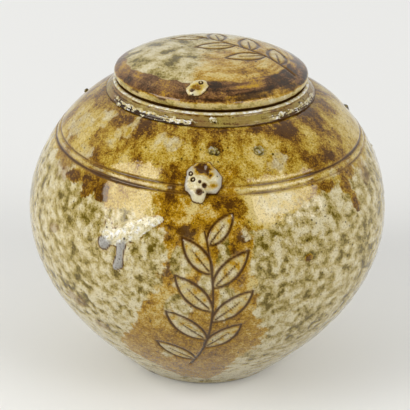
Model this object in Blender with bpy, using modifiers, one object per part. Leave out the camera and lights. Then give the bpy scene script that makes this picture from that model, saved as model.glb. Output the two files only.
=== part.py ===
"""Lidded stoneware jar: a thrown, nearly round pot with a low collar and a domed lid.

Metres, +Z up. The origin is the centre of the base, on the table, and the front looks along -Y.
"""

from math import cos, pi, radians, sin, tan, tau

import bmesh
import bpy
from mathutils import Matrix, Vector

# Jar body
BELLY_RADIUS = 0.090
BELLY_HEIGHT = 0.0825
SHOULDER_TOP_HEIGHT = 0.1437
WALL_THICKNESS = 0.006
FLOOR_THICKNESS = 0.008
FOOT_RADIUS = 0.040
FOOT_RING_WIDTH = 0.008
FOOT_RECESS_DEPTH = 0.002
MOUTH_RADIUS = 0.038
MOUTH_EDGE_THICKNESS = 0.0035

# Shape of the outer wall: its slopes, and the reach of its curves' handles
SHOULDER_SLOPE = radians(21)
SHOULDER_TOP_SHARE = 0.40
SHOULDER_BELLY_SHARE = 0.45
FOOT_SLOPE = radians(43)
FOOT_SHARE = 0.45
LOWER_BELLY_SHARE = 0.48

# Two turned lines round the shoulder
SHOULDER_LINE_DROP = 0.0192
SHOULDER_LINE_SPACING = 0.0038
SHOULDER_LINE_WIDTH = 0.0020
SHOULDER_LINE_DEPTH = 0.0006

# Collar luted round the mouth
COLLAR_LAND_WIDTH = 0.0099
COLLAR_SLOPE_WIDTH = 0.0035
COLLAR_HEIGHT = 0.0056
COLLAR_EDGE_HEIGHT = 0.0008
COLLAR_LIP_ROUNDING = 0.0009
COLLAR_LEDGE_MARGIN = 0.0005

# Lid
LID_RISE = 0.0148
LID_EDGE_RADIUS = 0.0032
LID_EDGE_TURN = radians(57)
LID_INSET = 0.0001
LID_WALL_THICKNESS = 0.0055

# Locating ring under the lid
FLANGE_THICKNESS = 0.004
FLANGE_DEPTH = 0.009
FLANGE_TAPER = 0.0008
FLANGE_CLEARANCE = 0.001

# Pressed pad of clay on the shoulder
PAD_WIDTH = 0.0168
PAD_LENGTH = 0.0202
PAD_HEIGHT = 0.0036
PAD_ABOVE_LINE = 0.0010
PAD_BEARING = radians(-92)
PAD_TAPER_SHARE = 0.30
PAD_DIMPLE_WIDTH = 0.0100
PAD_DIMPLE_DEPTH = 0.0018
PAD_DIMPLE_RISE = 0.0050

# Smaller pad on the lid
LID_PAD_WIDTH = 0.0118
LID_PAD_LENGTH = 0.0115
LID_PAD_HEIGHT = 0.0028
LID_PAD_INSET = 0.0083
LID_PAD_BEARING = radians(-99)
LID_PAD_TAPER_SHARE = 0.10
LID_PAD_DIMPLE_WIDTH = 0.0055
LID_PAD_DIMPLE_DEPTH = 0.0010
LID_PAD_DIMPLE_RISE = 0.0006

# Fit and fineness of the mesh
SEAT_GAP = 0.0003
WELD_DISTANCE = 0.00001
TURNING_SEGMENTS = 56
WALL_STEPS = 11
INNER_STEPS = 7
EDGE_STEPS = 7
DOME_STEPS = 9
HOLLOW_STEPS = 6
LIP_STEPS = 3
PAD_SEGMENTS = 20
PAD_RINGS = 12
LINE_SHARES = (-0.5, -0.25, 0.0, 0.25, 0.5)

# Colours of the pieces: red, green, blue, then roughness
JAR_GLAZE = (0.42, 0.34, 0.16, 0.25)
COLLAR_GLAZE = (0.30, 0.24, 0.12, 0.30)
PAD_GLAZE = (0.55, 0.50, 0.36, 0.35)
LID_GLAZE = (0.34, 0.24, 0.13, 0.25)
BARE_CLAY = (0.45, 0.36, 0.25, 0.60)


# Sizes that follow from the others

def collar_lip_radius():
    return MOUTH_RADIUS + COLLAR_LAND_WIDTH


def collar_foot_radius():
    return collar_lip_radius() + COLLAR_SLOPE_WIDTH


def shoulder_top_radius():
    return collar_foot_radius() + COLLAR_LEDGE_MARGIN


def lid_radius():
    return collar_lip_radius() - LID_INSET


def lid_pad_reach():
    return lid_radius() - LID_PAD_INSET


def flange_radius():
    return MOUTH_RADIUS - FLANGE_CLEARANCE


def lid_hollow_radius():
    return flange_radius() - FLANGE_THICKNESS


def collar_base_height():
    return SHOULDER_TOP_HEIGHT + SEAT_GAP


def lid_seat_height():
    return collar_base_height() + COLLAR_HEIGHT + SEAT_GAP


# Curves in the plane of radius and height

class Curve:
    """A cubic curve from one point to another, running down the outside of a turned wall."""

    def __init__(self, start, start_handle, end_handle, end):
        self.ends = [Vector(point) for point in (start, start_handle, end_handle, end)]

    def point(self, t):
        a, b, c, d = self.ends
        s = 1 - t
        return a * s**3 + b * (3 * s * s * t) + c * (3 * s * t * t) + d * t**3

    def slope(self, t):
        a, b, c, d = self.ends
        s = 1 - t
        return (b - a) * (3 * s * s) + (c - b) * (6 * s * t) + (d - c) * (3 * t * t)

    def normal(self, t):
        """The outward normal, to the left of the way down."""
        slope = self.slope(t)
        return Vector((-slope.y, slope.x)).normalized()

    def at_height(self, height, grow=0.0):
        """The place whose point, moved out by grow, lies at this height."""
        low, high = 0.0, 1.0
        for _ in range(40):
            t = (low + high) / 2
            if self.point(t).y + self.normal(t).y * grow > height:
                low = t
            else:
                high = t
        return (low + high) / 2

    def onward(self, t, distance):
        """The place this far down the curve from t, for a short distance."""
        halfway = t + distance / self.slope(t).length / 2
        return t + distance / self.slope(halfway).length

    def points(self, places, grow=0.0):
        return [self.point(t) + self.normal(t) * grow for t in places]


def shoulder_curve():
    """From the ledge under the collar down to the belly."""
    top = Vector((shoulder_top_radius(), SHOULDER_TOP_HEIGHT))
    belly = Vector((BELLY_RADIUS, BELLY_HEIGHT))
    reach = SHOULDER_TOP_SHARE * (belly.x - top.x)
    leave = Vector((cos(SHOULDER_SLOPE), -sin(SHOULDER_SLOPE))) * reach
    rise = Vector((0, SHOULDER_BELLY_SHARE * (top.y - belly.y)))
    return Curve(top, top + leave, belly + rise, belly)


def lower_curve():
    """From the belly down to the edge of the foot."""
    belly = Vector((BELLY_RADIUS, BELLY_HEIGHT))
    foot = Vector((FOOT_RADIUS, 0))
    drop = Vector((0, LOWER_BELLY_SHARE * BELLY_HEIGHT))
    reach = FOOT_SHARE * (BELLY_RADIUS - FOOT_RADIUS)
    arrive = Vector((cos(FOOT_SLOPE), sin(FOOT_SLOPE))) * reach
    return Curve(belly, belly - drop, foot + arrive, foot)


def spread(count, start=0.0, end=1.0):
    """Evenly spaced places from start to end, both kept."""
    return [start + (end - start) * i / count for i in range(count + 1)]


def arc(centre, radius, start, end, count):
    """Points of a circle's arc, from one angle to another."""
    return [Vector(centre) + Vector((cos(a), sin(a))) * radius for a in spread(count, start, end)]


# Outlines of the turned pieces, each down its outer side

def line_places(shoulder):
    """Where the two turned lines lie on the shoulder's curve."""
    upper = shoulder.at_height(SHOULDER_TOP_HEIGHT - SHOULDER_LINE_DROP)
    return upper, shoulder.onward(upper, SHOULDER_LINE_SPACING)


def lined_shoulder_points(shoulder):
    """The shoulder's points, with the two turned lines cut into them."""
    cuts = []
    for middle in line_places(shoulder):
        for share in LINE_SHARES:
            place = shoulder.onward(middle, share * SHOULDER_LINE_WIDTH)
            depth = SHOULDER_LINE_DEPTH * (1 - (2 * share) ** 2)
            cuts.append((place, depth))
    first, last = cuts[0][0], cuts[-1][0]
    apart = 1 / (2 * WALL_STEPS)
    plain = [(t, 0.0) for t in spread(WALL_STEPS) if t < first - apart or t > last + apart]
    return [shoulder.points([t], -depth)[0] for t, depth in sorted(plain + cuts)]


def jar_outline():
    shoulder, lower = shoulder_curve(), lower_curve()
    inside_floor = lower.at_height(FLOOR_THICKNESS, -WALL_THICKNESS)
    ring_inside = FOOT_RADIUS - FOOT_RING_WIDTH
    points = [Vector((0, FLOOR_THICKNESS))]
    points += lower.points(spread(INNER_STEPS, inside_floor, 0), -WALL_THICKNESS)
    points += shoulder.points(spread(INNER_STEPS, 1, 0)[1:], -WALL_THICKNESS)
    points.append(Vector((MOUTH_RADIUS, SHOULDER_TOP_HEIGHT - MOUTH_EDGE_THICKNESS)))
    points.append(Vector((MOUTH_RADIUS, SHOULDER_TOP_HEIGHT)))
    points += lined_shoulder_points(shoulder)
    points += lower.points(spread(WALL_STEPS)[1:])
    points.append(Vector((ring_inside, 0)))
    points.append(Vector((ring_inside - FOOT_RECESS_DEPTH, FOOT_RECESS_DEPTH)))
    points.append(Vector((0, FOOT_RECESS_DEPTH)))
    return points


def collar_outline():
    lip, foot, base = collar_lip_radius(), collar_foot_radius(), collar_base_height()
    top = base + COLLAR_HEIGHT
    rounding = COLLAR_LIP_ROUNDING
    points = [Vector((MOUTH_RADIUS, top))]
    points += arc((lip - rounding, top - rounding), rounding, pi / 2, 0, LIP_STEPS)
    points.append(Vector((foot, base + COLLAR_EDGE_HEIGHT)))
    points.append(Vector((foot, base)))
    points.append(Vector((MOUTH_RADIUS, base)))
    return points


def lid_top_points(grow=0.0):
    """The lid's dome and rounded edge, above the plane that it rests on.

    The dome falls with a power of the radius that makes it meet the edge without a corner.
    """
    edge = LID_EDGE_RADIUS
    centre = Vector((lid_radius() - edge, edge))
    meet = centre + Vector((cos(LID_EDGE_TURN), sin(LID_EDGE_TURN))) * edge
    fall = LID_RISE - meet.y
    power = meet.x / (tan(LID_EDGE_TURN) * fall)
    points = [Vector((0, LID_RISE + grow))]
    for share in spread(DOME_STEPS)[1:-1]:
        slope = -fall * power * share ** (power - 1) / meet.x
        on_dome = Vector((meet.x * share, LID_RISE - fall * share**power))
        points.append(on_dome + Vector((-slope, 1)).normalized() * grow)
    return points + arc(centre, edge + grow, LID_EDGE_TURN, -pi / 2, EDGE_STEPS)


def lid_outline():
    hollow = lid_hollow_radius()
    height = LID_RISE - LID_WALL_THICKNESS
    turns = spread(HOLLOW_STEPS, 0, pi / 2)
    inside = [Vector((hollow * cos(turn), height * sin(turn))) for turn in turns[:-1]]
    return lid_top_points() + inside + [Vector((0, height))]


def flange_outline():
    outer, inner = flange_radius(), lid_hollow_radius()
    bottom = -SEAT_GAP - FLANGE_DEPTH
    return [
        Vector((inner, -SEAT_GAP)),
        Vector((outer, -SEAT_GAP)),
        Vector((outer, bottom + FLANGE_TAPER)),
        Vector((outer - FLANGE_TAPER, bottom)),
        Vector((inner, bottom)),
    ]


# Making the solids

def clear_scene():
    for obj in list(bpy.data.objects):
        bpy.data.objects.remove(obj, do_unlink=True)


def new_collection(name):
    collection = bpy.data.collections.new(name)
    bpy.context.scene.collection.children.link(collection)
    return collection


def glaze(name, values):
    material = bpy.data.materials.new(name)
    material.use_nodes = True
    shader = material.node_tree.nodes["Principled BSDF"]
    shader.inputs["Base Color"].default_value = (*values[:3], 1)
    shader.inputs["Roughness"].default_value = values[3]
    shader.inputs["Metallic"].default_value = 0
    return material


def turned(name, outline, closed, collection, parent=None):
    """A solid of revolution: the outline turned once round the Z axis by a Screw modifier."""
    edges = [(i, i + 1) for i in range(len(outline) - 1)]
    if closed:
        edges.append((len(outline) - 1, 0))
    mesh = bpy.data.meshes.new(name)
    mesh.from_pydata([(point.x, 0, point.y) for point in outline], edges, [])
    obj = bpy.data.objects.new(name, mesh)
    collection.objects.link(obj)
    obj.parent = parent
    screw = obj.modifiers.new("turning", "SCREW")
    screw.axis = "Z"
    screw.angle = tau
    screw.steps = TURNING_SEGMENTS
    screw.render_steps = TURNING_SEGMENTS
    screw.use_merge_vertices = True
    screw.merge_threshold = WELD_DISTANCE
    screw.use_smooth_shade = True
    return obj


def make_cutter(obj):
    obj.hide_render = True
    obj.display_type = "WIRE"
    return obj


def cut(obj, cutter):
    boolean = obj.modifiers.new(cutter.name, "BOOLEAN")
    boolean.operation = "DIFFERENCE"
    boolean.solver = "EXACT"
    boolean.object = cutter


def place_on_wall(point, normal, bearing):
    """The frame of a pad: X along the wall's ring, Y up the slope, Z out of the wall."""
    outward = Vector((cos(bearing), sin(bearing), 0))
    along = Vector((-sin(bearing), cos(bearing), 0))
    up = Vector((0, 0, 1))
    out = outward * normal.x + up * normal.y
    frame = Matrix((along, out.cross(along), out)).transposed().to_4x4()
    frame.translation = outward * point.x + up * point.y
    return frame


def ball_mesh(name, segments, rings):
    mesh = bpy.data.meshes.new(name)
    shape = bmesh.new()
    bmesh.ops.create_uvsphere(shape, u_segments=segments, v_segments=rings, radius=1)
    shape.to_mesh(mesh)
    shape.free()
    mesh.shade_smooth()
    return mesh


def pressed_pad(name, size, taper, dimple, frame, seat, groups, parent=None):
    """A lump of clay pressed on the wall: bent to it, narrower below, with a thumb's hollow.

    size is its width, length and height, dimple its hollow's width, depth and rise from the middle.
    """
    parts, cutters = groups
    width, length, height = size
    mesh = ball_mesh(name, PAD_SEGMENTS, PAD_RINGS)
    for vertex in mesh.vertices:
        x, y, z = vertex.co
        x *= (1 + taper * y) * width / 2
        y *= length / 2
        z = z * height - (x * x + y * y) / (2 * BELLY_RADIUS)
        vertex.co = (x, y, z)
    pad = bpy.data.objects.new(name, mesh)
    parts.objects.link(pad)
    pad.parent = parent
    pad.matrix_local = frame
    hollow_width, hollow_depth, rise = dimple
    ball = (hollow_width**2 / 4 + hollow_depth**2) / (2 * hollow_depth)
    hollow_mesh = ball_mesh(name + "_hollow", PAD_SEGMENTS, PAD_RINGS)
    hollow = bpy.data.objects.new(name + "_hollow", hollow_mesh)
    cutters.objects.link(hollow)
    hollow.parent = parent
    sunk = Matrix.Translation((0, rise, height - hollow_depth + ball))
    between_edges = Matrix.Rotation(pi / PAD_SEGMENTS, 4, "Z")
    hollow.matrix_local = frame @ sunk @ between_edges
    hollow.scale = (ball, ball, ball)
    cut(pad, make_cutter(seat))
    cut(pad, make_cutter(hollow))
    return pad


def shoulder_seat(cutters):
    """The shoulder grown by the seat's gap, to hollow the back of what is pressed on it."""
    shoulder = shoulder_curve()
    grown = shoulder.points(spread(WALL_STEPS), SEAT_GAP)
    outline = [Vector((0, grown[0].y)), *grown, Vector((0, grown[-1].y))]
    return turned("shoulder_seat", outline, False, cutters)


def lid_seat(cutters, parent):
    outline = lid_top_points(SEAT_GAP)
    return turned("lid_seat", [*outline, Vector((0, -SEAT_GAP))], False, cutters, parent)


def front_pad_frame():
    shoulder = shoulder_curve()
    place = shoulder.onward(line_places(shoulder)[0], -PAD_ABOVE_LINE)
    return place_on_wall(shoulder.point(place), shoulder.normal(place), PAD_BEARING)


def lid_pad_frame():
    """Reads the dome's height and slope between the two outline points beside the pad's middle."""
    points = lid_top_points()
    after = next(i for i, point in enumerate(points) if point.x > lid_pad_reach())
    inner, outer = points[after - 1], points[after]
    share = (lid_pad_reach() - inner.x) / (outer.x - inner.x)
    run = outer - inner
    normal = Vector((-run.y, run.x)).normalized()
    return place_on_wall(inner.lerp(outer, share), normal, LID_PAD_BEARING)


def main():
    clear_scene()
    parts = new_collection("lidded_jar")
    cutters = new_collection("cutters")
    groups = (parts, cutters)

    body = turned("jar_body", jar_outline(), False, parts)
    collar = turned("neck_ring", collar_outline(), True, parts)
    pad_size = (PAD_WIDTH, PAD_LENGTH, PAD_HEIGHT)
    pad_dimple = (PAD_DIMPLE_WIDTH, PAD_DIMPLE_DEPTH, PAD_DIMPLE_RISE)
    seat = shoulder_seat(cutters)
    frame = front_pad_frame()
    pad = pressed_pad(
        "front_prunt", pad_size, PAD_TAPER_SHARE, pad_dimple, frame, seat, groups
    )

    lift = bpy.data.objects.new("lid_lift", None)
    lift.location = (0, 0, lid_seat_height())
    parts.objects.link(lift)
    lid = turned("lid", lid_outline(), False, parts, lift)
    flange = turned("lid_flange", flange_outline(), True, parts, lift)
    lid_size = (LID_PAD_WIDTH, LID_PAD_LENGTH, LID_PAD_HEIGHT)
    lid_dimple = (LID_PAD_DIMPLE_WIDTH, LID_PAD_DIMPLE_DEPTH, LID_PAD_DIMPLE_RISE)
    seat = lid_seat(cutters, lift)
    frame = lid_pad_frame()
    lid_pad = pressed_pad(
        "lid_prunt", lid_size, LID_PAD_TAPER_SHARE, lid_dimple, frame, seat, groups, lift
    )

    body.data.materials.append(glaze("jar_glaze", JAR_GLAZE))
    collar.data.materials.append(glaze("collar_glaze", COLLAR_GLAZE))
    pad.data.materials.append(glaze("pad_glaze", PAD_GLAZE))
    lid.data.materials.append(glaze("lid_glaze", LID_GLAZE))
    flange.data.materials.append(glaze("bare_clay", BARE_CLAY))
    lid_pad.data.materials.append(glaze("lid_pad_glaze", PAD_GLAZE))


main()
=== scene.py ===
from math import cos, pi, radians, sin, tan, tau

import bmesh
import bpy
import numpy as np
from bpy.props import FloatProperty, FloatVectorProperty, PointerProperty
from mathutils import Matrix, Vector


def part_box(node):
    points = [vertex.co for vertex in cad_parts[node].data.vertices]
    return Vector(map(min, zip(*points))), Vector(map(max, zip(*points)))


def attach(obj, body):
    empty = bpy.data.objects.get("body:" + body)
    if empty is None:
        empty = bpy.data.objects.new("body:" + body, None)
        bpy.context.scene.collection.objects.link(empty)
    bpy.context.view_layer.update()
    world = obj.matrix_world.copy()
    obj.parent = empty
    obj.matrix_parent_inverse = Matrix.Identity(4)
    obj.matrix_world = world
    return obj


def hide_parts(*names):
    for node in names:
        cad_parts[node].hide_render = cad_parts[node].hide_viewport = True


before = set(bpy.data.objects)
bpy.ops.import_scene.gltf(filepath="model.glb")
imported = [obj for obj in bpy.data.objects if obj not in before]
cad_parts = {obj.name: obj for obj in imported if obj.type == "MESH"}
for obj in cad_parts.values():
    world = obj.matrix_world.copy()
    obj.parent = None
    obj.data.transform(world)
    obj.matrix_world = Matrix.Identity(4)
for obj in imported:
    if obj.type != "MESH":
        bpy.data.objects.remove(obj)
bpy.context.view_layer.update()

bl_info = {
    "name": "Lidded salt-glazed jar",
    "version": (1, 0, 0),
    "blender": (4, 5, 0),
    "location": "3D View > Sidebar > Jar",
    "description": "Dresses a thrown, salt-glazed jar with its glazes, kiln marks, light and camera",
    "category": "Add Mesh",
}

body_low, body_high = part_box("jar_body")
collar_low, collar_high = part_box("neck_ring")
lid_low, lid_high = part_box("lid")
ring_low, ring_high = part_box("lid_flange")


# Settings that a user would change

def length(name, description, default):
    return FloatProperty(name=name, description=description, default=default, unit="LENGTH", precision=5)


def angle(name, description, default):
    return FloatProperty(name=name, description=description, default=radians(default), subtype="ANGLE")


def share(name, description, default):
    return FloatProperty(name=name, description=description, default=default, min=0, max=1, subtype="FACTOR")


def level(name, description, default):
    return FloatProperty(name=name, description=description, default=default, min=0, subtype="NONE")


def colour(name, description, default):
    return FloatVectorProperty(
        name=name, description=description, default=default, size=3, min=0, max=1, subtype="COLOR"
    )


class JarShape(bpy.types.PropertyGroup):
    belly_radius: length("Belly radius", "Half the width of the jar", body_high.x)
    belly_height: length("Belly height", "Height of the widest place", 0.0825)
    shoulder_height: length("Shoulder height", "Top of the thrown wall", body_high.z)
    shoulder_radius: length("Shoulder radius", "Outer edge of the ledge", collar_high.x + 0.0005)
    shoulder_slope: angle("Shoulder slope", "Fall of the wall below the collar", 21)
    shoulder_top_share: share("Shoulder top", "Reach of the shoulder's upper handle", 0.40)
    shoulder_belly_share: share("Shoulder foot", "Reach of the shoulder's lower handle", 0.45)
    foot_radius: length("Foot radius", "Half the width of the foot", 0.040)
    foot_slope: angle("Foot slope", "Rise of the wall above the foot", 43)
    foot_share: share("Foot reach", "Reach of the lower wall's lower handle", 0.45)
    lower_belly_share: share("Belly reach", "Reach of the lower wall's upper handle", 0.48)
    foot_rounding: length("Foot rounding", "Radius of the foot's edge", 0.0008)
    foot_ring_width: length("Foot ring", "Width of the ring that the jar stands on", 0.008)
    foot_recess: length("Foot recess", "Depth inside the foot ring", 0.002)
    wall_thickness: length("Wall", "Thickness of the thrown wall", 0.006)
    floor_thickness: length("Floor", "Thickness of the floor", 0.008)
    mouth_radius: length("Mouth radius", "Half the width of the mouth", 0.038)
    mouth_edge: length("Mouth edge", "Thickness of the wall at the mouth", 0.0035)
    line_drop: length("Line drop", "Upper turned line below the shoulder's top", 0.0192)
    line_spacing: length("Line spacing", "Between the two turned lines", 0.0038)
    line_width: length("Line width", "Width of a turned line", 0.0022)
    line_depth: length("Line depth", "Depth of a turned line", 0.0006)
    collar_lip_radius: length("Lip radius", "Outer radius of the collar's lip", 0.0479)
    collar_edge: length("Collar edge", "Height of the collar's outer edge", 0.0008)
    lip_rounding: length("Lip rounding", "Radius of the collar's lip", 0.0009)
    lid_edge_radius: length("Lid edge", "Radius of the lid's rounded rim", 0.0032)
    lid_edge_turn: angle("Lid edge turn", "Where the dome meets the rounded rim", 57)
    lid_wall: length("Lid wall", "Thickness of the lid at its middle", 0.0055)
    lid_hollow_radius: length("Lid hollow", "Radius of the hollow under the lid", 0.033)
    ring_taper: length("Ring taper", "Chamfer below the locating ring", 0.0008)


class JarRelief(bpy.types.PropertyGroup):
    mottle_size: length("Mottle size", "Width of the salt glaze's blisters", 0.0039)
    mottle_depth: length("Mottle depth", "Depth of the pits between the blisters", 0.00042)
    ripple_size: length("Ripple size", "Width of the soft waves in the smooth glaze", 0.011)
    ripple_depth: length("Ripple depth", "Height of those waves", 0.00012)
    carved_width: length("Carved line width", "Width of the incised leaf lines", 0.0018)
    carved_depth: length("Carved line depth", "Depth of the incised leaf lines", 0.00055)
    crust_height: length("Crust height", "How far the white run stands proud", 0.0006)
    drip_height: length("Drip height", "How far the grey drips stand proud", 0.0012)
    front_spacing: length("Front spacing", "Distance between columns of faces at the front", 0.0005)
    back_spacing: length("Back spacing", "Distance between columns of faces at the back", 0.00172)
    row_spacing: length("Row spacing", "Distance between rows of faces on the wall", 0.00091)
    wall_inset: length("Wall inset", "How far the bare wall lies inside the solid", 0.0003)
    right_fullness: length("Right fullness", "How far the right of the shoulder swells out", 0.0013)


class JarColours(bpy.types.PropertyGroup):
    frost: colour("Frost", "Whitest crawled glaze", (0.78, 0.78, 0.76))
    white: colour("White", "Grey white of the thickest salt glaze", (0.63, 0.565, 0.365))
    cream: colour("Cream", "Cream of the blisters", (0.49, 0.405, 0.19))
    olive: colour("Olive", "Olive between the blisters", (0.30, 0.232, 0.052))
    moss: colour("Moss", "Darkest green brown of the pits", (0.098, 0.069, 0.004))
    straw: colour("Straw", "Pale ochre of the shoulder", (0.58, 0.455, 0.17))
    ochre: colour("Ochre", "Ochre of the shoulder", (0.44, 0.30, 0.030))
    amber: colour("Amber", "Golden brown flow on the front", (0.42, 0.232, 0.003))
    rust: colour("Rust", "Red brown in the amber", (0.22, 0.100, 0.002))
    umber: colour("Umber", "Dark brown patches", (0.058, 0.020, 0.001))
    iron: colour("Iron", "Specks and pooled lines", (0.022, 0.008, 0.001))
    # Mauve is the bloom in the collar's and lid's glaze, and also the painted sheen in patches on the wall
    mauve: colour("Mauve", "Brown violet bloom", (0.170, 0.075, 0.030))
    silver: colour("Silver", "Grey glass of the drips", (0.32, 0.31, 0.29))
    clay: colour("Clay", "Bare clay", (0.40, 0.29, 0.18))
    sheen: colour("Sheen", "Warm cast of the light that the glaze throws back", (1.0, 0.94, 0.80))


class JarStage(bpy.types.PropertyGroup):
    camera_elevation: angle("Camera elevation", "Height of the view above level", 24.64)
    camera_distance: length("Camera distance", "From the camera to its target", 0.81)
    camera_view: angle("Field of view", "Angle across the picture", 14.64)
    camera_roll: angle("Camera roll", "Turn of the picture", 1.68)
    target_across: length("Target across", "Target to the right of the jar's middle", -0.00115)
    target_height: length("Target height", "Target above the table", 0.08112)
    lamp_distance: length("Lamp distance", "From the jar's foot to each lamp's plane", 0.9)
    lamp_glow: level("Lamp glow", "Radiance of the left lamp", 5.6)
    room_front: level("Room in front", "Radiance of the room behind the camera", 0.14)
    room_back: level("Room behind", "Radiance of the room behind the jar", 0.80)
    floor_colour: colour("Floor", "Colour of the table", (0.72, 0.72, 0.70))
    backdrop_lift: level("Backdrop lift", "How much paler the far table looks", 0.34)


# Curves in the plane of radius and height

MM = 0.001


def smooth(low, high, values):
    """A soft step from 0 at low to 1 at high, either of which may be the larger."""
    t = np.clip((values - low) / (high - low), 0, 1)
    return t * t * (3 - 2 * t)


def window(values, rise, full, fade, gone):
    """1 between full and fade, and 0 before rise and after gone."""
    return smooth(rise, full, values) * smooth(gone, fade, values)


def turned_from(start, bearings):
    """Angles from a start, up to half a turn either way."""
    return (bearings - start + pi) % tau - pi


def placed_at(bearing, radius, height):
    return np.column_stack([radius * np.cos(bearing), radius * np.sin(bearing), height])


def cubic(start, start_handle, end_handle, end, t):
    """Points of a cubic curve at the places t."""
    t = np.asarray(t)[:, None]
    s = 1 - t
    start, start_handle, end_handle, end = map(np.asarray, (start, start_handle, end_handle, end))
    return start * s**3 + start_handle * 3 * s * s * t + end_handle * 3 * s * t * t + end * t**3


def arc(centre, radius, start, end, count):
    angles = np.linspace(start, end, count)
    return centre + radius * np.column_stack([np.cos(angles), np.sin(angles)])


def outward(outline):
    """Unit normals to the left of the way along an outline that runs down the outside."""
    run = np.gradient(outline, axis=0)
    normals = np.column_stack([-run[:, 1], run[:, 0]])
    return normals / np.linalg.norm(normals, axis=1)[:, None]


def run_along(outline):
    """Distance run along an outline at each of its points."""
    return np.concatenate([[0], np.cumsum(np.linalg.norm(np.diff(outline, axis=0), axis=1))])


def even(outline, spacing):
    """The same outline with points at even distances of about this spacing."""
    run = run_along(outline)
    places = np.linspace(0, run[-1], max(2, round(run[-1] / spacing) + 1))
    return np.column_stack([np.interp(places, run, column) for column in outline.T])


FINE = np.linspace(0, 1, 400)


def wall_line(shape):
    """The thrown wall as two cubic curves: from the shoulder's top to the belly, and on to the foot."""
    top = np.array([shape.shoulder_radius, shape.shoulder_height])
    belly = np.array([shape.belly_radius, shape.belly_height])
    foot = np.array([shape.foot_radius, 0])
    upper, lower = belly - top, belly - foot
    leave = np.array([cos(shape.shoulder_slope), -sin(shape.shoulder_slope)]) * upper[0]
    arrive = np.array([cos(shape.foot_slope), sin(shape.foot_slope)]) * lower[0]
    above, below = shape.shoulder_belly_share * upper[1], shape.lower_belly_share * lower[1]
    shoulder = cubic(top, top + shape.shoulder_top_share * leave, belly - (0, above), belly, FINE)
    base = cubic(belly, belly - (0, below), foot + shape.foot_share * arrive, foot, FINE)
    return np.vstack([shoulder, base[1:]])


# Noise in space, so that it has no seam round the jar

SLOTS = 256
NOISE_GAIN = 1.6


def slot_finder(random):
    """A lookup that gives each cell of space one of the noise's slots by chance."""
    order = np.concatenate([random.permutation(SLOTS)] * 3)

    def slot_of(cells):
        x, y, z = (cells % SLOTS).T
        return order[order[order[x] + y] + z]

    return slot_of


def gradient_noise(points, seed):
    """Smooth noise from about -1 to 1, with features one unit across."""
    random = np.random.default_rng(seed)
    slot_of = slot_finder(random)
    slopes = random.normal(size=(SLOTS, 3))
    slopes /= np.linalg.norm(slopes, axis=1)[:, None]
    base = np.floor(points).astype(int)
    part = points - base
    fade = part**3 * (part * (part * 6 - 15) + 10)
    total = np.zeros(len(points))
    for corner in np.ndindex(2, 2, 2):
        weight = np.prod(np.where(corner, fade, 1 - fade), axis=1)
        total += weight * np.einsum("ij,ij->i", slopes[slot_of(base + corner)], part - corner)
    return total * NOISE_GAIN


def layered_noise(points, size, seed, layers=3, keep=0.5):
    """Noise whose layers halve in size and keep this share of their strength."""
    total, weight = np.zeros(len(points)), 0.0
    for layer in range(layers):
        total += keep**layer * gradient_noise(points / size * 2**layer, seed + layer)
        weight += keep**layer
    return total / weight


def cell_noise(points, size, seed):
    """Distance to the nearest of scattered seeds, in units of the cell."""
    random = np.random.default_rng(seed)
    slot_of = slot_finder(random)
    jitter = random.random((SLOTS, 3))
    scaled = points / size
    base = np.floor(scaled).astype(int)
    distances = []
    for step in np.ndindex(3, 3, 3):
        cell = base + step - 1
        distances.append(np.linalg.norm(scaled - (cell + jitter[slot_of(cell)]), axis=1))
    return np.minimum.reduce(distances)


# Meshes of the turned pieces

FLOW_RADIUS = 0.070
FLOW_STRETCH = 0.70
# The unseen sides have one column of faces for this many on the seen sides
INNER_STEP = 4


class Ground:
    """The surface turned from an outline, for clay and glaze that stick to it."""

    def __init__(self, outline):
        self.outline, self.normals = outline, outward(outline)
        self.run = run_along(outline)

    def run_at(self, height):
        return self.run[np.argmin(np.abs(self.outline[:, 1] - height))]

    def radius_at(self, run):
        return np.interp(run, self.run, self.outline[:, 0])

    def at(self, bearing, run, rise):
        """Points at a bearing, a run down the outline and a rise above it."""
        across, up = (np.interp(run, self.run, part) for part in self.normals.T)
        height = np.interp(run, self.run, self.outline[:, 1])
        return placed_at(bearing, self.radius_at(run) + rise * across, height + rise * up)


class Skin:
    """A grid of rows down an outline and columns round the axis, with its fields and relief."""

    def __init__(self, outline, bearings):
        self.ground = Ground(outline)
        self.rows, self.columns = len(outline), len(bearings)
        self.bearing = np.tile(bearings, self.rows)
        self.from_front = np.degrees(turned_from(-pi / 2, self.bearing))
        self.radius, self.height, self.run = map(self.along_rows, (*outline.T, self.ground.run))
        self.points = placed_at(self.bearing, self.radius, self.height)
        self.relief = np.zeros(len(self.run))
        self.fields = {}

    def along_rows(self, values):
        return np.repeat(values, self.columns)

    def evenly(self, kind, tone):
        """One kind of glaze all over, without marks."""
        values = {kind: 1.0, "tone": tone, "groove": -1.0}
        self.fields = {field: np.full(len(self.run), value) for field, value in values.items()}
        return self

    def streaks(self, places, reach, seed):
        """Noise drawn out round the axis, with each streak one unit wide in the places."""
        x, y = reach * np.cos(self.bearing), reach * np.sin(self.bearing)
        return layered_noise(np.column_stack([places, x, y]), 1.0, seed)

    def moved(self):
        across, up = map(self.along_rows, self.ground.normals.T)
        return placed_at(self.bearing, self.radius + across * self.relief, self.height + up * self.relief)


def grid_faces(rows, columns, first=0):
    """Quads between neighbouring rows that run all the way round."""
    index = np.arange(rows * columns).reshape(rows, columns) + first
    right = np.roll(index, -1, axis=1)
    quads = [index[:-1], index[1:], right[1:], right[:-1]]
    return np.stack([corner.ravel() for corner in quads], axis=1).tolist()


def end_faces(first_count, last, last_count):
    """The two faces that close the first row and the last row."""
    return [list(range(first_count)), list(range(last, last + last_count))[::-1]]


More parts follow.
